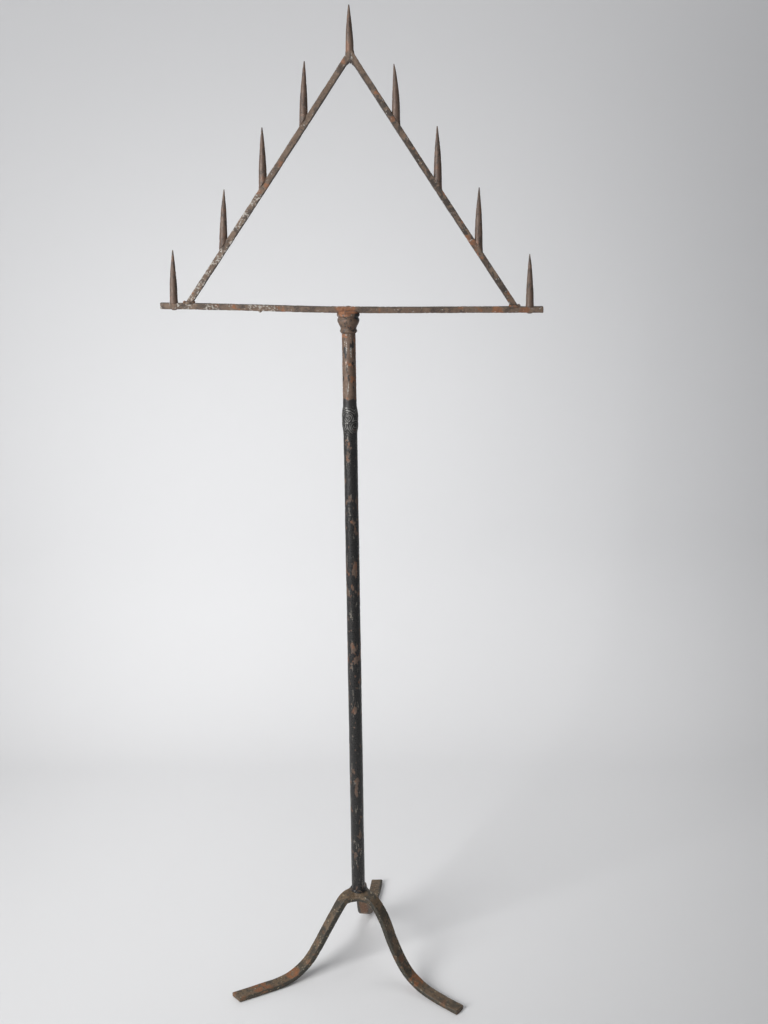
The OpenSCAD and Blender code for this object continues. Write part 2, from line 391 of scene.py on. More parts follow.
def bar_section(width, thick, edge=1.2, gaps=(6, 6)):
    """(across, through) points round a bar with worn edges. gaps are the parts of its flat sides."""
    points = []
    corners = ((1, 1), (-1, 1), (-1, -1), (1, -1))
    for turn, (u, v) in enumerate(corners):
        centre_u, centre_v = u * (width / 2 - edge), v * (thick / 2 - edge)
        for k in range(4):
            angle = math.radians(90 * (turn + k / 3))
            points.append((centre_u + edge * math.cos(angle), centre_v + edge * math.sin(angle)))
        side = (width if turn % 2 == 0 else thick) - 2 * edge
        parts = gaps[turn % 2]
        heading = math.radians(90 * (turn + 1))
        start = points[-1]
        for k in range(1, parts):
            points.append((start[0] - math.sin(heading) * side * k / parts,
                           start[1] + math.cos(heading) * side * k / parts))
    return points


def round_section(radius, count=32):
    """(across, through) points round a rod."""
    return [(radius * math.cos(math.tau * k / count), radius * math.sin(math.tau * k / count))
            for k in range(count)]


print("a square bar's section has", len(bar_section(9.5, 9.5)), "points")

# %% [markdown]
# A sweep carries the section along the line. Each ring is square to the line, apart from the ends: a bar
# that meets another at an angle is cut to suit, which is a lean of its last rings. cut gives that lean,
# as millimetres along the bar for each millimetre across and through. The ends are then closed with a
# worn edge and a flat face made of smaller rings.

# %% Sweep a section along a line
CUT_RAMP = 22


def end_cap(ring, outward, edge):
    """Rings that close an open end with a worn edge and a flat face."""
    centre = sum(ring, Vector()) / len(ring)
    cap = []
    for degrees in (30, 60, 90):
        angle = math.radians(degrees)
        cap.append([point + outward * edge * math.sin(angle)
                    - (point - centre).normalized() * edge * (1 - math.cos(angle))
                    for point in ring])
    for share in (0.75, 0.5, 0.25):
        cap.append([centre + outward * edge + (point - centre - outward * edge) * share
                    for point in cap[2]])
    return cap


def sweep(line, across, section_at, start_cut=(0, 0), end_cut=(0, 0), edge=0.8):
    """Rings of a bar. section_at(share, distance) gives the section at each ring."""
    across = Vector(across).normalized()
    rings = []
    total = sum((b - a).length for a, b in zip(line, line[1:]))
    run = 0.0
    for k, centre in enumerate(line):
        before, after = line[max(0, k - 1)], line[min(len(line) - 1, k + 1)]
        along = (after - before).normalized()
        through = along.cross(across)
        if k:
            run += (centre - line[k - 1]).length
        lean_in, lean_out = max(0, 1 - run / CUT_RAMP), max(0, 1 - (total - run) / CUT_RAMP)
        ring = []
        for u, v in section_at(run / total, run):
            shift = lean_in * (start_cut[0] * u + start_cut[1] * v)
            shift += lean_out * (end_cut[0] * u + end_cut[1] * v)
            ring.append(centre + across * u + through * v + along * shift)
        rings.append(ring)
    first = (line[0] - line[1]).normalized()
    last = (line[-1] - line[-2]).normalized()
    return [*reversed(end_cap(rings[0], first, edge)), *rings, *end_cap(rings[-1], last, edge)]


# %% [markdown]
# Turned pieces are rings about an upright axis. Their outline is a short list of radius and height
# pairs that the same smooth line runs through.

# %% Turn a round piece


def turned(outline, count=72, step=1.0, centre=(0, 0)):
    """Rings of a turned piece from (radius, height) points."""
    line = smooth_line([(radius, 0, height) for radius, height in outline], step)
    rings = []
    for place in line:
        rings.append([Vector((centre[0] + place.x * math.cos(math.tau * k / count),
                              centre[1] + place.x * math.sin(math.tau * k / count), place.z))
                      for k in range(count)])
    return rings


# %% [markdown]
# A weld bead is a small rod of metal that was laid down in steps. It is swept along the joint with a
# radius that swells a little every few millimetres, which draws the crescents of a real bead.

# %% Lay a weld bead
RIPPLE = 2.6


def bead(points, radius, across=(0, 0, 1), closed=False, flat=1.0):
    """Rings of a rippled bead along the points. flat below 1 squashes it in its second direction."""
    line = smooth_line(points, 0.6)

    def section_at(share, run):
        ripple = 1 + 0.10 * abs(math.sin(math.pi * run / RIPPLE))
        lumpy = 1 + 0.22 * noise.noise(line[min(len(line) - 1, round(share * (len(line) - 1)))] / 5)
        ends = 1.0 if closed else min(1.0, 0.35 + 3.2 * min(share, 1 - share))
        r = radius * ripple * lumpy * ends
        return [(u, v * flat) for u, v in round_section(r, 18)]

    return sweep(line, across, section_at, edge=0.5)


def weld_depth(place):
    """Weld metal is rougher than forged bar, in smaller lumps."""
    return 0.26 * noise.noise(place / 2.2) + 0.16 * noise.noise(place / 1.1) + 0.2 * noise.noise(place / 6)


# %% [markdown]
# ## The crossbar
# The crossbar is about 9.5 mm square and 594 mm long. It was bent a little when it was forged, so its left
# end rides about 6 mm higher than a straight bar would, and its middle is flushed with orange rust from
# the weld below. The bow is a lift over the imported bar's own straight line.

# %% Draw the crossbar's bow
bar_low, bar_high = box_mm("crossbar")
BAR = bar_high.y - bar_low.y
LEAN = math.radians(0.5)
BAR_BOW = ((-291, 6.2), (-222, 5.0), (-137, 3.0), (-44, 0.7), (80, -0.2), (190, 0.4), (303, 0.8))
bow_line = smooth_line([(x, 0, lift) for x, lift in BAR_BOW], 4)


def bar_top(x):
    """Height of the crossbar's top face at x."""
    lift = bow_line[-1].z
    for a, b in zip(bow_line, bow_line[1:]):
        if a.x <= x <= b.x:
            lift = a.z + (b.z - a.z) * (x - a.x) / (b.x - a.x)
            break
    if x < bow_line[0].x:
        lift = bow_line[0].z
    return bar_high.z - (x - bar_low.x) * math.sin(LEAN) + lift


bar_ends = (bar_low.x + 0.6, bar_high.x - 0.6)
bar_line = smooth_line([(x, 0, bar_top(x) - BAR / 2) for x in
                        (bar_ends[0], -222, -137, -44, 80, 190, bar_ends[1])])
print("crossbar top at the ends:", round(bar_top(-291), 1), round(bar_top(303), 1))

# %% [markdown]
# The crossbar and the rafters share their marks: candles dripped pale flakes over the left side, scale
# darkens them in patches, and rust runs out from the weld. Painted shade darkens the rafters' rounded
# inner edges and the crossbar's top face. To know which face is an inner one, the marks have to know
# where the rafters run. Each is a line from its foot to the apex that bows a little outwards.

# %% Find the rafters' lines and write the head's wear and painted shade
OUTWARD_BOW = 2.9
ACROSS_SLOPE = 0.82
APEX = Vector((9.3, 0, 1585.0))
rafter_boxes = {side: box_mm(name) for side, name in ((-1, "rafter_left"), (1, "rafter_right"))}
FOOT_X = {-1: rafter_boxes[-1][0].x + BAR * 0.60, 1: rafter_boxes[1][1].x - BAR * 0.60}


def rafter_place(side, share):
    """A place on a rafter's middle line. share is 0 at its foot and 1 at the apex."""
    foot = Vector((FOOT_X[side], 0, bar_top(FOOT_X[side])))
    outward = OUTWARD_BOW * (1 - share) ** 2
    return foot.lerp(APEX, share) + Vector((side * outward, 0, 0))


def head_wear_and_shade(place):
    """Brown, with pale flakes on the left side and orange by the weld. Painted shade darkens inner edges
    and the crossbar's top.
    """
    left_side = fade(-place.x, 60, 140) * (1 - 0.8 * fade(place.z, 1370, 1440))
    pale = 0.85 * left_side * blotches(place, 2.8, 0.07, 0.16, 3) * blotches(place, 24, -0.12, 0.2, 5)
    pale = max(pale, 0.6 * blotches(place, 4.5, 0.42, 0.08, 6))
    rust = 0.7 * blotches(place, 17, 0.40, 0.2, 9)
    rust = max(rust, 0.8 * near(place, (-4, -5, 1221), (24, 30, 13)))
    dark = max(0.6 * blotches(place, 11, 0.20, 0.2, 14), 0.5 * blotches(place, 3.5, 0.15, 0.15, 16))
    over_bar = place.z - bar_top(place.x)
    if over_bar > 3:
        side = 1 if place.x > APEX.x else -1
        share = (place.z - bar_top(FOOT_X[side])) / (APEX.z - bar_top(FOOT_X[side]))
        inward = side * (rafter_place(side, share).x - place.x) * ACROSS_SLOPE
        # Painted shade: the rafters' rounded inner edges, turned from the key light, are painted dark.
        dark = max(dark, 0.85 * fade(inward, BAR / 2 - 2.8, BAR / 2 - 1.2))
        dark = max(dark, fade(place.x, 20, 60) * blotches(place, 7, 0.02, 0.2, 15))
    else:
        # Painted shade: the crossbar's top face and the rafters' feet just above it are painted dark.
        dark = max(dark, 0.75 * fade(over_bar, -1.0, -0.2))
    return rust, dark * (1 - rust), pale


print("apex", round(APEX.z - bar_top(APEX.x)), "mm above the crossbar")

# %% Forge the crossbar itself


def crossbar_depth(place):
    """The forged skin with one stray drop of metal under the bar's left half."""
    drop = 2.2 * near(place, (-137, -2, bar_top(-137) - BAR), 3.6)
    spread = 0.5 * near(place, (0, -BAR / 2, 1218), (24, 6, 8))
    return forged_depth(place) + drop + spread


def bar_section_at(share, run):
    """Square, and a touch thicker where the hammer upset its ends."""
    upset = 0.25 * fade(abs(share - 0.5), 0.47, 0.5)
    return bar_section(BAR + upset, BAR + upset, 1.1)


settle("forged_crossbar", skin([sweep(bar_line, (0, -1, 0), bar_section_at)]),
       ["crossbar"], "head_iron", crossbar_depth, head_wear_and_shade)

# %% [markdown]
# ## The rafters
# The two sloping bars stand on the crossbar and meet in a mitre under the top spike. Both bow outwards by
# about 3 mm near their feet. The smith rounded the inside of the fork when he welded it, so each bar's
# inner face swings in along an arc over its last 15 mm: that is the same as a fillet of 7.5 mm radius
# between the two faces.

# %% Forge the rafters
CROTCH = 7.5


def rafter(side):
    """Rings of one rafter, from just inside the crossbar to the mitre."""
    line = smooth_line([rafter_place(side, share) for share in (-0.004, 0.12, 0.3, 0.55, 0.8, 1.0)])
    slope = math.atan2(abs(APEX.x - FOOT_X[side]), APEX.z - bar_top(FOOT_X[side]))
    corner = BAR / 2 / math.tan(slope)
    tangent = CROTCH / math.tan(slope)
    total = sum((b - a).length for a, b in zip(line, line[1:]))

    def section_at(share, run):
        lean = max(0.0, 1 - (total - run) / CUT_RAMP)
        swell = 0.0
        for _ in range(6):
            to_corner = total - run - corner * (1 - lean) + lean * swell / math.tan(slope)
            reach = min(max(0.0, tangent - to_corner), CROTCH * 0.83)
            swell = CROTCH - math.sqrt(CROTCH ** 2 - reach ** 2)
        inner = []
        for u, v in bar_section(BAR - 0.1, BAR - 0.1, 1.1):
            inner.append((u, v - side * swell if v * side < -1 else v))
        return inner

    foot_cut = (0, -side * math.tan(slope))
    apex_cut = (0, side / math.tan(slope) * 0.97)
    return sweep(line, (0, -1, 0), section_at, foot_cut, apex_cut, 0.3)


for side, word in ((-1, "left"), (1, "right")):
    settle(f"forged_rafter_{word}", skin([rafter(side)]), [f"rafter_{word}"], "head_iron",
           forged_depth, head_wear_and_shade)

# %% [markdown]
# ## The spikes
# Nine spikes carry the candles. Each was drawn out from round bar to a point, so its outline is a
# quarter of a sine wave rather than a cone: nearly straight at the foot and quick to close at the tip.
# The feet on the rafters are scarfed, which means cut along the slope and welded flat against it. No two
# are alike, so a small table gives each one its own height on the bar, length, lean and bend.

# %% Draw a spike
apex_low, apex_high = box_mm("apex_spike")
SPIKE_R = (apex_high.y - apex_low.y) / 2
TIP_R = 0.7
# The rafters rise 363 mm over a run of 250 mm, so an upright spike's scarfed foot is this long.
FOOT_RISE = SPIKE_R * 363 / 250
SPIKES = {
    # piece: (higher up the bar, length, lean towards the middle in degrees, bend of the tip)
    "spike_left_lower": (2.0, 80.5, 3.4, 0.4),
    "spike_left_middle": (0.8, 79.3, 1.8, -0.5),
    "spike_left_upper": (0.0, 80.6, 2.3, 0.3),
    "spike_right_lower": (0.6, 85.0, 1.0, -0.7),
    "spike_right_middle": (1.6, 80.6, 0.8, 0.4),
    "spike_right_upper": (2.2, 75.0, 0.2, 2.6),
}


def spike_radius(share):
    """Radius of a spike. share is 0 at its tip and 1 at its foot."""
    return TIP_R + (SPIKE_R - TIP_R) * math.sin(math.pi / 2 * max(0.0, share) ** 0.9)


def spike_history(place):
    """Brown with darker stains, pale specks, and rust at the top spike's foot."""
    rust = 0.6 * blotches(place, 15, 0.30, 0.22, 21)
    rust = max(rust, 0.75 * near(place, APEX + Vector((-4, -4, 8)), (6, 7, 14)))
    streaked = Vector((place.x, place.y, place.z / 3))
    dark = 0.6 * blotches(streaked, 4, 0.08, 0.22, 26)
    pale = 0.45 * blotches(place, 5, 0.42, 0.08, 31)
    return rust, dark * (1 - rust), pale


def spike_depth(place):
    """Drawn-out iron is smoother than bar."""
    return forged_depth(place, 0.62)


def spike(foot, side, length, lean, bend, foot_cut=(0, 0), below=0.0, foot_squash=1.0, flare=0.35):
    """Rings of a spike that starts a little below its foot and leans towards the middle."""
    direction = Vector((-side * math.sin(math.radians(lean)), 0, math.cos(math.radians(lean))))
    foot = Vector(foot)
    points = [foot - direction * below]
    for share in (0.3, 0.6, 0.85, 1.0):
        sideways = Vector((-side * bend * share ** 3, 0, 0))
        points.append(foot + direction * length * share + sideways)
    line = smooth_line(points, 0.9)

    def section_at(share, run):
        up = min(1.0, (run - below) / length)
        r = spike_radius(1 - up) + flare * (1 - fade(up, 0.0, 0.2 * flare))
        squash = foot_squash + (1 - foot_squash) * fade(up, 0.0, 0.3)
        return [(u * squash, v) for u, v in round_section(r, 36)]

    return sweep(line, (0, -1, 0), section_at, foot_cut, (0, 0), 0.35)


print("spikes are", round(2 * SPIKE_R, 1), "mm thick at the foot")

# %% Stand six spikes on the rafters


def on_rafter(side, z):
    """The place on a rafter's outer face at a height, and the rafter's slope there."""
    low, high = 0.0, 1.0
    for _ in range(24):
        share = (low + high) / 2
        inner = rafter_place(side, share)
        ahead = rafter_place(side, share + 0.01)
        slope = math.atan2(abs(ahead.x - inner.x), ahead.z - inner.z)
        outward = Vector((side * math.cos(slope), 0, math.sin(slope)))
        face = inner + outward * BAR / 2
        low, high = (share, high) if face.z < z else (low, share)
    return face, slope


for name, (higher, length, lean, bend) in SPIKES.items():
    side = -1 if "left" in name else 1
    low, high = box_mm(name)
    face, slope = on_rafter(side, low.z + FOOT_RISE + higher)
    cut = (0, -side / math.tan(slope + math.radians(lean)))
    rings = spike(face, side, length, lean, bend, cut, below=0.5)
    settle("forged_" + name, skin([rings]), [name], "spike_iron", spike_depth, spike_history)

# %% [markdown]
# The top spike stands astride the mitre and flows into the fork's front face: its foot is squashed to
# less than the bars' thickness and hides inside them. It leans a little to the left. The two end spikes
# stand square on the crossbar. Each has a thin tenon through the bar, and the tenon's end was hammered
# over into a small head below.

# %% Forge the top spike and the end spikes
top_foot = (APEX.x - 0.2, 0, APEX.z - 3)
top_length = apex_high.z - top_foot[2] - 0.4
rings = spike(top_foot, 1, top_length, 1.0, -0.6, below=1.0, foot_squash=0.72, flare=0.7)
settle("forged_apex_spike", skin([rings]), ["apex_spike"], "spike_iron", spike_depth, spike_history)


def tenon_head(x, z, radius, height, up):
    """Rings of a hammered head, a low dome above or below z."""
    outline = []
    for degrees in (0, 30, 60, 84):
        angle = math.radians(degrees)
        outline.append((radius * math.cos(angle), z + up * height * math.sin(angle)))
    return turned([(radius * 0.9, z - up * 0.8), *outline], 28, 0.5, (x, 0))


for side, name, length, lean in ((-1, "end_spike_left", 79.3, 2.0), (1, "end_spike_right", 78.6, 1.5)):
    low, high = box_mm(name)
    x = low.x + SPIKE_R + 0.3 if side < 0 else high.x - SPIKE_R - 0.3
    shoulder = spike((x, 0, bar_top(x)), side, length, lean, 0.5, below=0.8)
    head = tenon_head(x, bar_top(x) - BAR, 4.6, 1.7, -1)
    settle("forged_" + name, skin([shoulder, head]), [name], "spike_iron", spike_depth, spike_history)

# %% [markdown]
# ## The welds of the head
# Weld metal fills the corners at the rafters' feet and the joint between crossbar and capital. At each
# foot a bead runs round the bar on all four sides. The capital's weld is a fatter lump in front and
# behind, orange with rust.

# %% Lay the welds at the rafters' feet


def weld_history(place):
    """Weld metal rusts orange first."""
    rust = max(near(place, (-2, -6, 1214), (26, 18, 9)), 0.7 * blotches(place, 8, 0.1, 0.2, 41))
    return rust, 0.7 * blotches(place, 6, 0.25, 0.12, 44), 0.4 * blotches(place, 5, 0.3, 0.1, 47)


for side, word in ((-1, "left"), (1, "right")):
    foot = rafter_place(side, 0.0)
    half = BAR / 2
    reach = half / math.cos(math.atan2(abs(APEX.x - foot.x), APEX.z - foot.z))
    shells = []
    for face in (-1, 1):
        x = foot.x + face * (reach + 0.6)
        z = bar_top(x) + 0.7
        shells.append(bead([(x, -half - 0.3, z - 0.4), (x, 0, z + 0.4), (x, half + 0.3, z - 0.4)],
                           2.4 if face * side > 0 else 3.0, (0, 0, 1)))
    for face in (-1, 1):
        z = bar_top(foot.x) + 0.4
        shells.append(bead([(foot.x - reach, face * half, z - 0.6), (foot.x, face * (half + 0.3), z + 0.4),
                            (foot.x + reach, face * half, z - 0.6)], 1.9, (0, 0, 1)))
    settle(f"foot_weld_{word}", skin(shells), [f"rafter_weld_{word}"], "head_iron",
           weld_depth, weld_history)

# %% Lay the capital's weld
flange_low, flange_high = box_mm("capital")
FLANGE_R = flange_high.x
shells = []
for face in (-1, 1):
    points = []
    for degrees in (-62, -35, 0, 35, 62):
        angle = math.radians(degrees)
        points.append((FLANGE_R * 0.93 * math.sin(angle),
                       face * (2.6 + FLANGE_R * 0.42 * math.cos(angle)), flange_high.z + 0.6))
    shells.append(bead(points, 3.3, (0, 0, 1)))
settle("capital_weld_lump", skin(shells), ["capital_weld"], "weld_rust", weld_depth, weld_history)

# %% [markdown]
# ## The capital
# The capital was turned on a lathe: a flange under the crossbar, a groove, a bowl that narrows to a neck,
# and a small ring where it meets the shaft. It is softer now than the lathe left it, so the outline is
# rounded and the hammer works on it only lightly.

# %% Turn the capital
CAPITAL = (
    # (radius, distance below the crossbar)
    (6.0, 0.2), (FLANGE_R - 1.2, 0.1), (FLANGE_R - 0.1, 1.2), (FLANGE_R, 3.6), (FLANGE_R - 0.9, 5.0),
    (15.9, 6.0), (15.7, 6.9), (16.6, 8.2), (17.2, 10.4), (16.9, 13.0), (15.6, 16.2), (13.9, 19.4),
    (12.7, 22.4), (12.4, 24.6), (12.9, 25.8), (13.5, 27.4), (13.2, 29.0), (12.1, 29.9),
    (11.5, 31.2), (8.0, 31.5),
)
shaft_low, shaft_high = box_mm("upper_shaft")
SHAFT_R = shaft_high.x


def lathe_depth(place):
    """A worn turned surface."""
    return forged_depth(place, 0.32)


def capital_wear_and_shade(place):
    """Orange from the weld on top, with pale and dark mottling below, and painted shade on its right side.
    """
    rust = 0.8 * near(place, (-6, -16, 1212), (16, 14, 6))
    rust = max(rust, 0.5 * blotches(place, 9, 0.35, 0.2, 51))
    dark = 0.6 * blotches(place, 5, 0.08, 0.2, 54)
    # Painted shade: this dark patch on the capital's right side stands for the shade there.
    dark = max(dark, 0.9 * near(place, (18, -10, 1208), (12, 16, 9)))
    return rust, dark, 0.5 * blotches(place, 4, 0.36, 0.1, 57)


outline = [(radius, flange_high.z - drop) for radius, drop in CAPITAL]
settle("turned_capital", skin([turned(outline, 96, 0.8)]), ["capital"], "shaft_iron",
       lathe_depth, capital_wear_and_shade)

# %% [markdown]
# ## The shaft, the sleeve and the pole
# The round pole is in two lengths. The short upper shaft is bare brown iron with scraps of old black
# paint, and its tenon shows as a low head on the crossbar. The long lower pole still has its paint. A
# barrel of grey weld metal joins them. Paint is a skin: where it is gone, the surface steps down by a
# tenth of a millimetre, and the same mask makes that step and the change of colour.

# %% Mark where paint is left, and turn the shaft
sleeve_low, sleeve_high = box_mm("joint_sleeve")
JOINT_Z = shaft_low.z
PAINT = 0.14
PAINT_EDGE = 1078
WORN_BANDS = ((772, 46, 0.55), (905, 20, 0.3), (640, 26, 0.25))  # (height, reach, strength)


def scraps(place):
    """Share of black paint left on the shaft and the pole."""
    edge = PAINT_EDGE + 5 * noise.noise(Vector((place.x / 5, place.y / 5, 3)))
    above = 1 - fade(place.z, edge - 3, edge + 3)
    streaked = Vector((place.x, place.y, place.z / 2.4))
    kept = max(near(place, (-6, -10, 1153), (4.5, 7, 15)), near(place, (5, -10, 1161), (5, 7, 17)))
    flecks = max(kept * blotches(streaked, 4, -0.12, 0.12, 62),
                 fade(place.z, 1080, 1100) * blotches(streaked, 5, 0.42, 0.08, 61))
    worn = blotches(Vector((place.x, place.y, place.z / 2)), 9, 0.46, 0.05, 64)
    chips = max(near(place, (-5, -10, 1006), (6, 8, 12)), near(place, (-4, -10, 984), (6, 8, 13)))
    worn = max(worn, chips * blotches(place, 4, -0.1, 0.1, 66))
    drawn_out = Vector((place.x, place.y, place.z / 2.5))
    for z, reach, strength in WORN_BANDS:
        patch = 1 - fade(abs(place.z - z) / reach, 0.5, 1.0)
        worn = max(worn, patch * blotches(drawn_out, 8, 0.42 - strength * 0.45, 0.06, 67))
    return max(above * (1 - worn), flecks)


def shaft_depth(place):
    """Forged skin, with the paint standing proud of it."""
    return forged_depth(place, 0.6) + PAINT * scraps(place) - PAINT


def pole_wear_and_highlight(place):
    """Paint is the dark mark. Rust shows round its edges, drips run down from old spills, and a painted
    highlight runs down the shaft's front.
    """
    dark = scraps(place)
    right_edge = fade(place.x, 6, 11) * fade(-place.y, -12, 2)
    rust = 0.8 * max(blotches(place, 10, 0.22, 0.2, 71), right_edge * blotches(place, 14, 0.0, 0.2, 73))
    rust = max(rust, near(place, (-3, -11, 742), (4, 6, 5)))
    streak = Vector((place.x * 1.3, place.y * 1.3, place.z / 5))
    pale = 0.65 * blotches(streak, 4, 0.44, 0.1, 77)
    # Painted highlight: a pale streak down the shaft's front left, where the light's reflection lies.
    painted_highlight = near(place, (-4, -11, 1162), (3.2, 5, 22))
    pale = max(pale, 0.6 * painted_highlight * blotches(streak, 3, -0.1, 0.2, 78))
    pale = max(pale, 0.8 * near(place, (4, -12, 250), (7, 9, 26)) * blotches(streak, 4, 0.1, 0.1, 79))
    return rust, dark, pale


waves = [(SHAFT_R + 0.05 * math.sin(z / 17), z) for z in range(round(JOINT_Z) - 6, 1182, 12)]
shaft_rings = turned([*waves, (SHAFT_R, flange_low.z + 1.2)], 64, 1.25)
peened = tenon_head(0, bar_top(0), 4.8, 1.3, 1)
settle("round_shaft", skin([shaft_rings, peened]), ["upper_shaft"], "shaft_iron",
       shaft_depth, pole_wear_and_highlight)

# %% Turn the pole
POLE_FOOT_R = box_mm("lower_pole")[1].x
POLE_TOP_R = 11.2
CROWN_TOP = box_mm("leg_crown")[1].z
waves = []
for k in range(41):
    share = k / 40
    taper = POLE_FOOT_R + (POLE_TOP_R - POLE_FOOT_R) * share
    waves.append((taper + 0.12 * math.sin(27 * share), CROWN_TOP - 3 + (JOINT_Z + 2 - CROWN_TOP) * share))
pole_rings = turned(waves, 60, 1.35)
rivet = turned([(7.6, 147.5), (10.9, 145.6), (10.6, 144.4), (8.4, 143.2), (3.0, 142.7)], 40, 0.8)
settle("painted_pole", skin([pole_rings, rivet]), ["lower_pole"], "black_paint",
       shaft_depth, pole_wear_and_highlight)

# %% [markdown]
# The sleeve is lumpy weld metal, wire-brushed to a dull grey. It was built up from dabs, and every dab
# froze in rings. So the surface rises and falls with the distance to the nearest dab's middle, and a
# coarse noise bends the rings out of true.

# %% Build up the welded sleeve
SLEEVE_R = sleeve_high.x
RING_STEP = 3.1
DAB_RADIUS = 12
DABS = []
for k, lift in enumerate((4, -9, 7, -4, 10, -7)):
    angle = math.radians(252 + 60 * k)
    DABS.append(Vector((DAB_RADIUS * math.cos(angle), DAB_RADIUS * math.sin(angle), JOINT_Z + lift)))


def sleeve_depth(place):
    """Lumps and rings, fading out at the sleeve's ends."""
    middle = 1 - fade(abs(place.z - JOINT_Z), 13, 21)
    curled = place + noise.noise_vector(place / 5) * 1.8
    away = min((curled - dab).length for dab in DABS)
    ring = math.cos(math.tau * away / RING_STEP)
    lumps = noise.noise(place / 7 + Vector((4, 0, 0)))
    return (0.2 + 0.8 * middle) * (0.38 * ring + 0.40 * lumps) - 0.2


def sleeve_wear_and_glints(place):
    """Grey metal with paint left in its hollows and a touch of red below, with pale ridges, specks and a
    front streak as painted highlights.
    """
    hollow = sleeve_depth(place)
    dark = 1 - fade(hollow, -0.35, 0.05)
    rust = 0.8 * near(place, (8, -10, 1030), (7, 9, 9)) * blotches(place, 5, 0.0, 0.2, 81)
    # Painted highlight: a pale streak on the sleeve's upper front left.
    streak = near(place, (-6, -11, 1070), (4, 6, 11))
    # Painted highlights: silver specks on the ridges stand for glints.
    painted_glints = blotches(place, 2.6, 0.05, 0.12, 83) * fade(hollow, -0.3, 0.1)
    # Painted highlights: the ridges of the rings are pale as glints of light.
    return rust, 0.9 * dark, max(fade(hollow, -0.1, 0.25), painted_glints, streak)


# %% Turn the sleeve
SLEEVE_HALF = (sleeve_high.z - sleeve_low.z) / 2
BARREL = ((-1.06, 10.6), (-1.0, 11.4), (-0.72, 12.3), (-0.35, 12.9), (0.0, SLEEVE_R), (0.3, 13.0),
          (0.6, 12.5), (0.86, 11.8), (1.02, 11.2), (1.08, 10.4))
outline = [(radius, JOINT_Z + share * SLEEVE_HALF) for share, radius in BARREL]
settle("welded_sleeve", skin([turned(outline, 110, 0.7)]), ["joint_sleeve"], "grey_weld",
       sleeve_depth, sleeve_wear_and_glints)

# %% [markdown]
# ## The legs
# Three lengths of flat bar run level out of the crown, bend over a shoulder, fall at about sixty degrees
# and sweep round into a flat foot. Each leg is one smooth line. The front left one bends early and was
# cut off askew, the right one has a longer shoulder, and the back one drops early and drifts a little
# sideways. The bar thins towards the foot, where it was drawn out.

# %% Draw the legs' lines
LEG_W = 21.0
LEGS = {
    # piece: (direction in degrees, width at the foot, end cut, thickness at crown and tip,
    #         the middle line: distance from the pole, height and drift to the left)
    "leg_left": (204.0, 22.4, -0.38, (11.6, 8.8),
                 ((10, 152.5, 0), (22, 151.2, 0), (33, 142.6, 0), (48, 119.5, 0), (67, 89, 0),
                  (85, 59.5, 0), (104, 34, 0), (131, 14.5, 0), (158, 6.6, 0), (190, 5.4, 0),
                  (240.4, 4.8, 0))),
    "leg_right": (323.5, 20.6, 0.08, (10.8, 8.6),
                  ((10, 152.3, 0), (26, 151.0, 0), (38, 145.7, 0), (52, 130, 0), (63.5, 110, 0),
                   (76, 82, 0), (91, 55.5, 0), (109.5, 31.5, 0), (130, 17.5, 0), (153, 9.2, 0),
                   (186, 5.4, 0), (223, 4.5, 0))),
    "leg_back": (82.8, 22.6, -0.11, (10.6, 8.4),
                 ((10, 152.2, 0), (21, 151.0, 0.5), (32.5, 143.5, 1.2), (45, 124.5, 1.9), (58, 99.5, 2.8),
                  (74, 70, 4.1), (90.5, 44, 5.2), (111, 24, 5.0), (135, 11.5, 2.4), (162, 6.2, -0.6),
                  (196, 5.0, -2.2), (233.6, 4.5, -2.5))),
}
DIRECTIONS = [leg[0] for leg in LEGS.values()]


def leg_axes(degrees):
    """The directions outward and across of a leg."""
    angle = math.radians(degrees)
    outward = Vector((math.cos(angle), math.sin(angle), 0))
    return outward, Vector((-outward.y, outward.x, 0))


def leg_line(name, reach=None):
    """The middle line of a leg, or only its first part, out to a distance from the pole."""
    outward, across = leg_axes(LEGS[name][0])
    line = smooth_line([outward * r + across * drift + Vector((0, 0, z)) for r, z, drift in LEGS[name][4]])
    if reach:
        line = [place for place in line if math.hypot(place.x, place.y) < reach]
    return line


for name in LEGS:
    print(name, "has a line of", len(leg_line(name)), "places")

# %% [markdown]
# The legs' marks are mostly blotches, but the large ones are listed: dark scale where the bars were bent,
# orange rust on the feet, and two drops of wax on the left leg. Each mark is a soft ball round a place on
# the leg. The sides of the bars are darker than their tops, and the crown's face under its top edge is
# painted shade.

# %% Mark the legs
LEG_SCALE = (
    # (place, reach, strength)
    ((-66, -30, 88), (15, 15, 17), 1.0), ((-37, -16, 138), (12, 13, 12), 1.0),
    ((79, -58, 55), (11, 11, 14), 0.8), ((45, -34, 132), (12, 12, 12), 0.8),
    ((170, -126, 10), (10, 10, 8), 0.7),
)
LEG_RUST = (
    # (place, reach, size of the blotches, their level and their seed)
    ((-178, -79, 9), (26, 18, 10), 10, -0.05, 97), ((-121, -54, 19), (20, 16, 16), 9, -0.1, 96),
    ((106, -78, 22), (22, 18, 16), 9, -0.1, 98),
)
LEG_WAX = (((-43, -19, 128), (4, 4, 4), 0.9), ((-55, -25, 108), (3, 4, 4), 0.8))


def strongest(place, marks):
    """The strongest of some listed marks at a place."""
    return max(strength * near(place, centre, reach) for centre, reach, strength in marks)


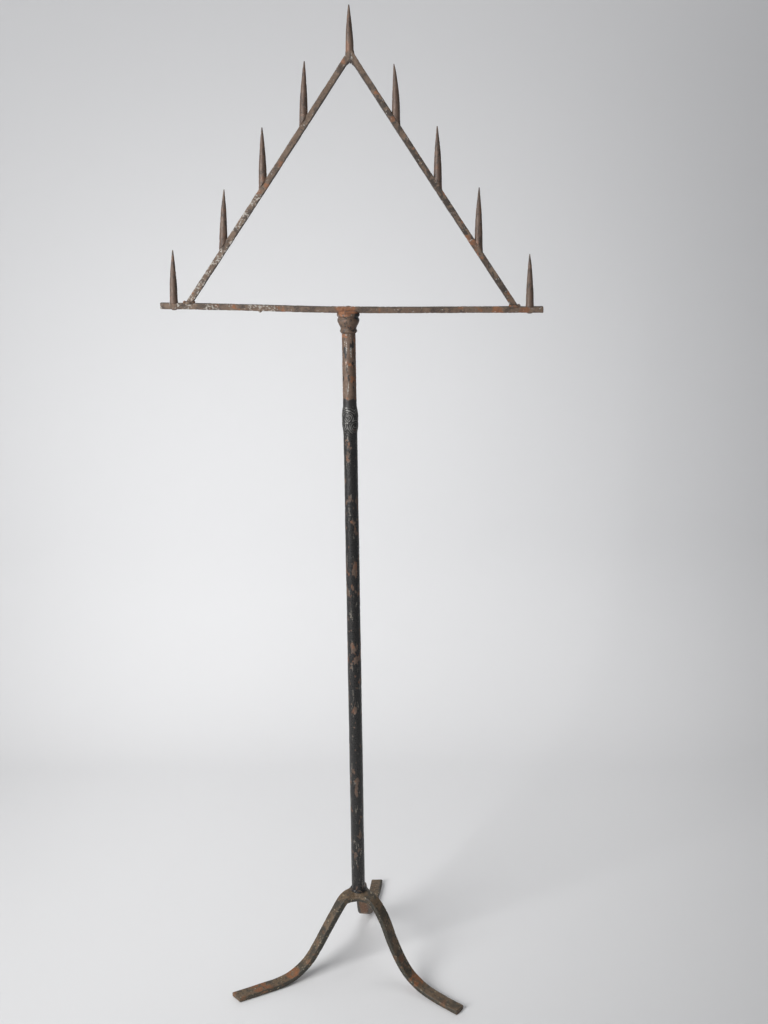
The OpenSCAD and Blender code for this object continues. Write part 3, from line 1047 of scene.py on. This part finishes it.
def leg_wear_and_shade(place):
    """Olive-brown iron, darker on its sides, with painted shade under the crown's edge, and orange where
    the feet stood in the wet.
    """
    out = math.hypot(place.x, place.y)
    offset = min(abs(place.dot(across)) for outward, across in map(leg_axes, DIRECTIONS)
                 if place.dot(outward) > 0.4 * out)
    side_face = fade(offset, LEG_W / 2 - 1.6, LEG_W / 2 - 0.2) * fade(out, 24, 40)
    # Painted shade: the crown's face below its top edge, near the pole, is painted dark.
    painted_shade_under_crown = (1 - fade(place.z, CROWN_TOP - 5.5, CROWN_TOP - 3)) * (1 - fade(out, 26, 36))
    right_leg = fade(place.x, 10, 40) * fade(-place.y, 5, 20)
    scale = max(0.8 * blotches(place, 24, 0.06 + 0.16 * fade(out, 120, 190), 0.25, 91),
                strongest(place, LEG_SCALE),
                0.75 * blotches(place, 5, 0.22 - 0.10 * right_leg, 0.16, 92))
    dark = max(0.85 * scale, 0.85 * side_face * (1 - 0.2 * fade(out, 150, 200)), 0.8 * painted_shade_under_crown,
               0.4 * near(place, (4, 60, 75), (22, 50, 70)))
    rust = max(0.6 * blotches(place, 15, 0.28, 0.2, 94) * fade(out, 25, 60),
               0.6 * near(place, (4, 75, 75), (30, 60, 75)) * (1 - side_face))
    for centre, reach, size, level, seed in LEG_RUST:
        rust = max(rust, near(place, centre, reach) * blotches(place, size, level, 0.15, seed))
    pale = max(0.85 * blotches(place, 3.6, 0.50, 0.06, 99), strongest(place, LEG_WAX))
    return rust, dark * (1 - 0.6 * rust), pale


def leg_depth(place):
    """Flat bar, hammered a little less than the head."""
    return forged_depth(place, 0.65)


def leg_sections(name, grow=0.0, shrink_from=None):
    """The section along a leg: it thins to the foot and spreads at the tip."""
    _, foot_width, _, (thick, tip_thick), _ = LEGS[name]

    def section_at(share, run):
        width = LEG_W + (foot_width - LEG_W) * fade(share, 0.5, 1.0)
        depth = thick + (tip_thick - thick) * fade(share, 0.05, 1.0)
        ease = grow if shrink_from is None else grow - 0.75 * fade(run, *shrink_from)
        return bar_section(width + 2 * ease, depth + 2 * ease, 2.0, (14, 6))

    return section_at


# %% Forge the legs
for name in LEGS:
    _, across = leg_axes(LEGS[name][0])
    rings = sweep(leg_line(name), across, leg_sections(name), end_cut=(LEGS[name][2], 0), edge=1.3)
    settle("forged_" + name, skin([rings]), [name], "leg_iron", leg_depth, leg_wear_and_shade)

# %% [markdown]
# ## The crown
# At the crown the three bars are welded into one lump, and the corners between them are filled and
# rounded. Blender's voxel remesh does what the forge did: it melts overlapping pieces into one skin.
# So the crown starts as the legs' first stretches, a round hub and three curved webs, all overlapping.
# They are remeshed together and smoothed, and then hammered like the rest. The crown's arms shrink
# slowly into the legs, which leaves no step where one piece ends and the next begins.

# %% Shape the webs between the legs
HUB_R = 15.5
HUB_TOP = CROWN_TOP + 4.2
ARM_REACH = 46
WEB_STOP = 30
WEB_EDGE = 19.6
WEB_Z = 150.4
MELT_VOXEL = 0.85 * MM


def web(first, second):
    """Rings of the curved web between two legs."""
    points = []
    out_a, across_a = leg_axes(LEGS[first][0])
    out_b, across_b = leg_axes(LEGS[second][0])
    inset = LEG_W / 2 - 3.6
    heights = {name: {round(math.hypot(p.x, p.y)): p.z for p in leg_line(name, 50)}
               for name in (first, second)}

    def height(name, r):
        return min(heights[name].items(), key=lambda item: abs(item[0] - r))[1]

    for r in (WEB_STOP + 8, WEB_STOP):
        points.append(out_a * r + across_a * inset + Vector((0, 0, height(first, r))))
    middle = (out_a + out_b).normalized()
    points.append(middle * (WEB_EDGE - 3.8) + Vector((0, 0, WEB_Z)))
    for r in (WEB_STOP, WEB_STOP + 8):
        points.append(out_b * r - across_b * inset + Vector((0, 0, height(second, r))))
    line = smooth_line(points)
    total = len(line)
    rings = []
    for k, centre in enumerate(line):
        along = line[min(total - 1, k + 1)] - line[max(0, k - 1)]
        side = along.cross(Vector((0, 0, 1))).normalized()
        ends = fade(min(k, total - 1 - k), 0, 6)
        rings.append([centre + side * u + Vector((0, 0, v * (0.75 + 0.25 * ends)))
                      for u, v in bar_section(7.4, 10.4, 1.8, (4, 6))])
    return rings


# %% Lay out the crown's parts
shells = [turned([(4, 145.6), (HUB_R - 1.5, 145.3), (HUB_R, 146.8), (HUB_R + 0.8, 153.0),
                  (HUB_R - 0.6, HUB_TOP - 2.2), (HUB_R - 3, HUB_TOP - 0.2), (4, HUB_TOP)], 48, 1.2)]
for name in LEGS:
    _, across = leg_axes(LEGS[name][0])
    arm = leg_line(name, ARM_REACH)
    shells.append(sweep(arm, across, leg_sections(name, 0.25, (12, 34)), edge=1.0))
order = ("leg_left", "leg_right", "leg_back")
for first, second in zip(order, order[1:] + order[:1]):
    shells.append(web(first, second))
print("the crown starts as", len(shells), "overlapping shells")

# %% Melt them into one skin
lump = skin(shells)
for vert in lump.verts:
    vert.co *= MM
rough_mesh = bpy.data.meshes.new("crown_lump")
lump.to_mesh(rough_mesh)
lump.free()
rough = new_piece("crown_lump", rough_mesh)
melt = rough.modifiers.new("melt", "REMESH")
melt.mode = "VOXEL"
melt.voxel_size = MELT_VOXEL
soften = rough.modifiers.new("soften", "SMOOTH")
soften.factor = 0.5
soften.iterations = 7
bpy.context.view_layer.update()
melted = bmesh.new()
melted.from_object(rough, bpy.context.evaluated_depsgraph_get())
for vert in melted.verts:
    vert.co /= MM
bpy.data.objects.remove(rough)
settle("welded_crown", melted, ["leg_crown"], "leg_iron", leg_depth, leg_wear_and_shade)

# %% [markdown]
# The pole's foot is welded to the crown with one thick bead that was painted over with the pole. It is a
# ring of rippled rod, with a thinner pass over it.

# %% Weld the pole's foot


def ring_points(radius, z, count=24):
    """Points of a level circle whose last point meets its first."""
    return [(radius * math.cos(math.tau * k / count), radius * math.sin(math.tau * k / count),
             z + 0.3 * math.sin(5 * math.tau * k / count)) for k in range(count + 1)]


def foot_weld_history(place):
    """Painted over, with a little bare metal."""
    return 0.5 * blotches(place, 6, 0.3, 0.1, 105), 1 - 0.7 * blotches(place, 5, 0.32, 0.08, 107), 0


shells = [bead(ring_points(POLE_FOOT_R + 0.2, HUB_TOP + 0.6), 2.2, closed=True),
          bead(ring_points(POLE_FOOT_R - 0.5, HUB_TOP + 3.2), 1.7, closed=True)]
settle("pole_foot_weld", skin(shells), ["pole_weld"], "black_paint", weld_depth, foot_weld_history)

# %% [markdown]
# ## Finishes
# All the iron shares one way of building a shader. It starts from two browns mixed by a broad noise. The
# three marks are then laid over them in turn: dark scale, paint and painted shade, orange rust, and pale
# lime with painted highlights. Each mask is broken up by a fine noise before it is used, so that its edges
# crumble instead of blurring.
# Roughness follows the same masks, and a bump of two sizes adds the grain that is too fine for the mesh.

# %% Helpers that add shader nodes


class Shader:
    """A material under construction, with short calls that add its nodes."""

    def __init__(self, name):
        self.material = bpy.data.materials.new(name)
        self.material.use_nodes = True
        self.tree = self.material.node_tree
        self.surface = self.tree.nodes["Principled BSDF"]
        self.place = self.tree.nodes.new("ShaderNodeTexCoord").outputs["Object"]

    def feed(self, socket, value):
        """Sets a socket to a number or a colour, or links it to another node."""
        if isinstance(value, bpy.types.NodeSocket):
            self.tree.links.new(value, socket)
        elif hasattr(value, "__len__"):
            socket.default_value = (*value, 1)
        else:
            socket.default_value = value

    def noise(self, size, detail=4.0, rough=0.55, stretch=1.0, twist=0.0):
        """Noise with lumps about size millimetres across. stretch draws them out upwards."""
        mapping = self.tree.nodes.new("ShaderNodeMapping")
        self.tree.links.new(self.place, mapping.inputs["Vector"])
        per_metre = 1 / (size * MM)
        mapping.inputs["Scale"].default_value = (per_metre, per_metre, per_metre / stretch)
        mapping.inputs["Location"].default_value = (size, 2.3 * size, 5.1)
        node = self.tree.nodes.new("ShaderNodeTexNoise")
        self.tree.links.new(mapping.outputs["Vector"], node.inputs["Vector"])
        node.inputs["Scale"].default_value = 1.0
        node.inputs["Detail"].default_value = detail
        node.inputs["Roughness"].default_value = rough
        node.inputs["Distortion"].default_value = twist
        return node.outputs["Fac"]

    def pits(self, size):
        """Distance to the nearest of many scattered points, small inside a pit."""
        node = self.tree.nodes.new("ShaderNodeTexVoronoi")
        self.tree.links.new(self.place, node.inputs["Vector"])
        node.inputs["Scale"].default_value = 1 / (size * MM)
        return node.outputs["Distance"]

    def history(self, word):
        """One of the marks that are written on the mesh."""
        node = self.tree.nodes.new("ShaderNodeAttribute")
        node.attribute_name = word
        return node.outputs["Fac"]

    def sum(self, kind, a, b):
        """One step of arithmetic, such as ADD or MULTIPLY."""
        node = self.tree.nodes.new("ShaderNodeMath")
        node.operation = kind
        self.feed(node.inputs[0], a)
        self.feed(node.inputs[1], b)
        return node.outputs[0]

    def steps(self, value, low, high, to_low=0.0, to_high=1.0):
        """A smooth rise from to_low to to_high as value goes from low to high."""
        node = self.tree.nodes.new("ShaderNodeMapRange")
        node.interpolation_type = "SMOOTHSTEP"
        self.feed(node.inputs["Value"], value)
        for word, number in zip(("From Min", "From Max", "To Min", "To Max"),
                                (low, high, to_low, to_high)):
            node.inputs[word].default_value = number
        return node.outputs["Result"]

    def mix(self, share, a, b):
        """Colour a with colour b laid over it."""
        node = self.tree.nodes.new("ShaderNodeMix")
        node.data_type = "RGBA"
        self.feed(node.inputs["Factor"], share)
        self.feed(node.inputs[6], a)
        self.feed(node.inputs[7], b)
        return node.outputs[2]

    def bump(self, height, strength, distance, under=None):
        """Bends the light over a height. distance is in millimetres."""
        node = self.tree.nodes.new("ShaderNodeBump")
        node.inputs["Strength"].default_value = strength
        node.inputs["Distance"].default_value = distance * MM
        self.tree.links.new(height, node.inputs["Height"])
        if under:
            self.tree.links.new(under, node.inputs["Normal"])
        return node.outputs["Normal"]


# %% [markdown]
# One function makes every iron finish. Its colours are what differ: the bare browns, the dark skin, which
# is matt scale on the legs and glossy paint on the pole and also colours the painted shade, the rust, and
# the pale crust, which also colours the painted highlights.

# %% The finish of old iron


def old_iron(name, browns, dark, rust, pale, gloss=(0.62, 0.5), crumble=0.5, grain=0.5, soft=0.18,
             metal=0.08):
    """Iron in two browns, with dark, rust and pale marks over them. gloss is the roughness of bare iron
    and of the dark skin, crumble breaks up the masks' edges, and soft is half the width of the dark one's.
    """
    shader = Shader(name)
    fine = shader.noise(1.9, 5, 0.6)
    broken = shader.sum("MULTIPLY", shader.sum("SUBTRACT", fine, 0.5), crumble * 2.4)

    def mask(word, low, high):
        return shader.steps(shader.sum("ADD", shader.history(word), broken), low, high)

    dark_mask = mask("dark", 0.52 - soft, 0.52 + soft)
    rust_mask = mask("rust", 0.35, 0.75)
    pale_mask = mask("pale", 0.50, 0.68)
    broad = shader.steps(shader.noise(24, 4, 0.6, 1.5), 0.36, 0.64)
    bare = shader.mix(broad, browns[0], browns[1])
    stains = shader.steps(shader.noise(5.5, 5, 0.65, 1.4, 0.4), 0.34, 0.68)
    bare = shader.mix(shader.sum("MULTIPLY", stains, 0.6), bare, browns[2])
    specks = shader.steps(shader.noise(1.1, 3, 0.7), 0.60, 0.72)
    bare = shader.mix(shader.sum("MULTIPLY", specks, 0.22), bare, pale[1])
    rusty = shader.mix(shader.steps(shader.noise(3.5, 4, 0.6), 0.35, 0.65), rust[0], rust[1])
    colour = shader.mix(shader.sum("MULTIPLY", rust_mask, 0.85), bare, rusty)
    # The dark colour also paints the shade that some marks carry.
    dark_skin_and_shade = shader.mix(shader.steps(shader.noise(2.6, 4, 0.7), 0.45, 0.72), dark[0], dark[1])
    colour = shader.mix(dark_mask, colour, dark_skin_and_shade)
    # The pale colour also paints the highlights that some marks carry.
    pale_crust_and_highlight = shader.mix(shader.steps(fine, 0.35, 0.65), pale[1], pale[0])
    colour = shader.mix(shader.sum("MULTIPLY", pale_mask, 0.85), colour, pale_crust_and_highlight)
    shader.feed(shader.surface.inputs["Base Color"], colour)

    rough = shader.steps(shader.noise(2.2, 4, 0.65), 0.3, 0.7, gloss[0] - 0.12, gloss[0] + 0.16)
    rough_dark = shader.steps(shader.noise(1.6, 4, 0.65), 0.3, 0.7, gloss[1] - 0.10, gloss[1] + 0.18)
    keep_dark = shader.sum("MULTIPLY", shader.sum("SUBTRACT", rough_dark, rough), dark_mask)
    shader.feed(shader.surface.inputs["Roughness"], shader.sum("ADD", rough, keep_dark))
    shader.surface.inputs["Metallic"].default_value = metal
    shader.surface.inputs["Specular IOR Level"].default_value = 0.5

    lumps = shader.bump(shader.noise(2.4, 6, 0.7), 0.9 * grain, 0.5)
    hollows = shader.steps(shader.pits(1.7), 0.05, 0.5)
    pitted = shader.bump(hollows, 0.35 * grain, 0.35, lumps)
    edges = shader.bump(dark_mask, 0.5, 0.12, pitted)
    shader.tree.links.new(edges, shader.surface.inputs["Normal"])
    print(name, "has", len(shader.tree.nodes), "nodes")
    return shader.material


# %% [markdown]
# The colours are linear light values, as Blender's shaders want them, and they are darker than they look
# on the finished stand, because the key light is strong.

# %% Choose the colours
PALE = ((0.440, 0.415, 0.375), (0.240, 0.205, 0.165))
RUST = ((0.274, 0.110, 0.044), (0.167, 0.069, 0.034))
COLOURS = {
    # finish: (bare iron in two browns and a stain, dark skin and painted shade, rust, pale crust and
    # painted highlights)
    "head_iron": (((0.141, 0.091, 0.060), (0.182, 0.128, 0.090), (0.076, 0.051, 0.037)),
                  ((0.046, 0.034, 0.027), (0.075, 0.056, 0.043)), RUST, PALE),
    "spike_iron": (((0.108, 0.066, 0.045), (0.136, 0.091, 0.065), (0.070, 0.043, 0.031)),
                   ((0.046, 0.033, 0.027), (0.084, 0.062, 0.047)),
                   ((0.198, 0.095, 0.050), (0.152, 0.080, 0.050)), PALE),
    "weld_rust": (((0.182, 0.102, 0.060), (0.228, 0.124, 0.067), (0.091, 0.055, 0.037)),
                  ((0.038, 0.029, 0.023), (0.076, 0.058, 0.044)), RUST, PALE),
    "shaft_iron": (((0.122, 0.076, 0.049), (0.147, 0.097, 0.067), (0.074, 0.043, 0.028)),
                   ((0.014, 0.013, 0.012), (0.032, 0.028, 0.025)), RUST, PALE),
    "grey_weld": (((0.080, 0.077, 0.071), (0.120, 0.116, 0.108), (0.040, 0.038, 0.035)),
                  ((0.015, 0.015, 0.015), (0.040, 0.039, 0.037)),
                  ((0.106, 0.058, 0.044), (0.076, 0.051, 0.040)),
                  ((0.240, 0.235, 0.222), (0.150, 0.146, 0.138))),
    "black_paint": (((0.093, 0.059, 0.040), (0.120, 0.080, 0.058), (0.048, 0.032, 0.024)),
                    ((0.011, 0.0105, 0.010), (0.022, 0.020, 0.018)),
                    ((0.200, 0.080, 0.034), (0.090, 0.047, 0.032)),
                    ((0.200, 0.180, 0.150), (0.080, 0.072, 0.062))),
    "leg_iron": (((0.118, 0.077, 0.042), (0.152, 0.106, 0.064), (0.065, 0.044, 0.028)),
                 ((0.027, 0.025, 0.018), (0.057, 0.051, 0.037)),
                 ((0.251, 0.095, 0.034), (0.152, 0.062, 0.027)),
                 ((0.319, 0.263, 0.168), (0.198, 0.153, 0.101))),
}
print(len(COLOURS), "finishes")

# %% Mix the finishes and lay them on
SURFACES = {
    # finish: (its material's name, and what differs from plain old iron)
    "head_iron": ("old_head_iron", {"soft": 0.25}),
    "spike_iron": ("old_spike_iron", {"gloss": (0.55, 0.55), "grain": 0.35}),
    "weld_rust": ("rusty_weld", {}),
    "shaft_iron": ("old_shaft_iron", {"gloss": (0.55, 0.42)}),
    "grey_weld": ("grey_weld_metal", {"gloss": (0.38, 0.5), "grain": 0.9, "soft": 0.1, "metal": 0.45}),
    "black_paint": ("worn_black_paint", {"gloss": (0.5, 0.30), "crumble": 0.6, "grain": 1.0, "soft": 0.1}),
    "leg_iron": ("old_leg_iron", {"gloss": (0.6, 0.5), "crumble": 0.35, "grain": 0.4, "soft": 0.34}),
}
finishes = {slot: old_iron(name, *COLOURS[slot], **surface) for slot, (name, surface) in SURFACES.items()}
for piece in forged.values():
    piece.data.materials.append(finishes[piece["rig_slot"]])
